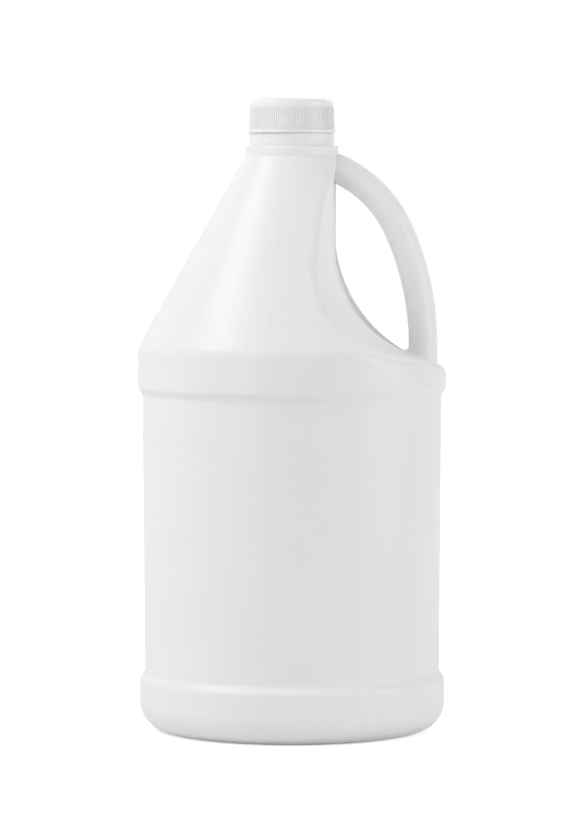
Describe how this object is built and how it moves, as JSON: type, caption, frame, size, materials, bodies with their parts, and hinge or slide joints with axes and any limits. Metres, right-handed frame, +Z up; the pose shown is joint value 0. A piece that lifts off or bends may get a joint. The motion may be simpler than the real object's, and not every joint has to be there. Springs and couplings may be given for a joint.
{
  "type": "gallon jug",
  "caption": "Round blow-moulded jug with a set-in label panel, a sloping shoulder, a hollow side handle and a ribbed screw cap, for storing and pouring liquids.",
  "frame": {"origin": "centre of the base, on the surface the jug stands on", "axes": "+Z up along the jug's own axis, +X towards the handle; the mould halves part on the XZ plane"},
  "size_m": [0.154, 0.154, 0.3153],
  "materials": {
    "bottle_plastic": "satin white, opaque",
    "cap_plastic": "satin white, ribbed skirt",
    "liner_foam": "matt white foam"
  },
  "bodies": {
    "jug": {"bottle": "bottle_plastic"},
    "liner": {"cap_liner": "liner_foam"},
    "cap": {"cap": "cap_plastic"}
  },
  "joints": [
    {"name": "cap_lift", "type": "slide", "parent": "jug", "child": "liner", "axis": [0, 0, 1], "range_m": [0, 0.017]},
    {"name": "cap_turn", "type": "hinge", "parent": "liner", "child": "cap", "pos_m": [0, 0, 0.3], "axis": [0, 0, 1], "range_deg": [0, 1440]}
  ],
  "couplings": [
    {"joint": "cap_lift", "follows": "cap_turn", "m_per_rad": 0.00067323}
  ]
}
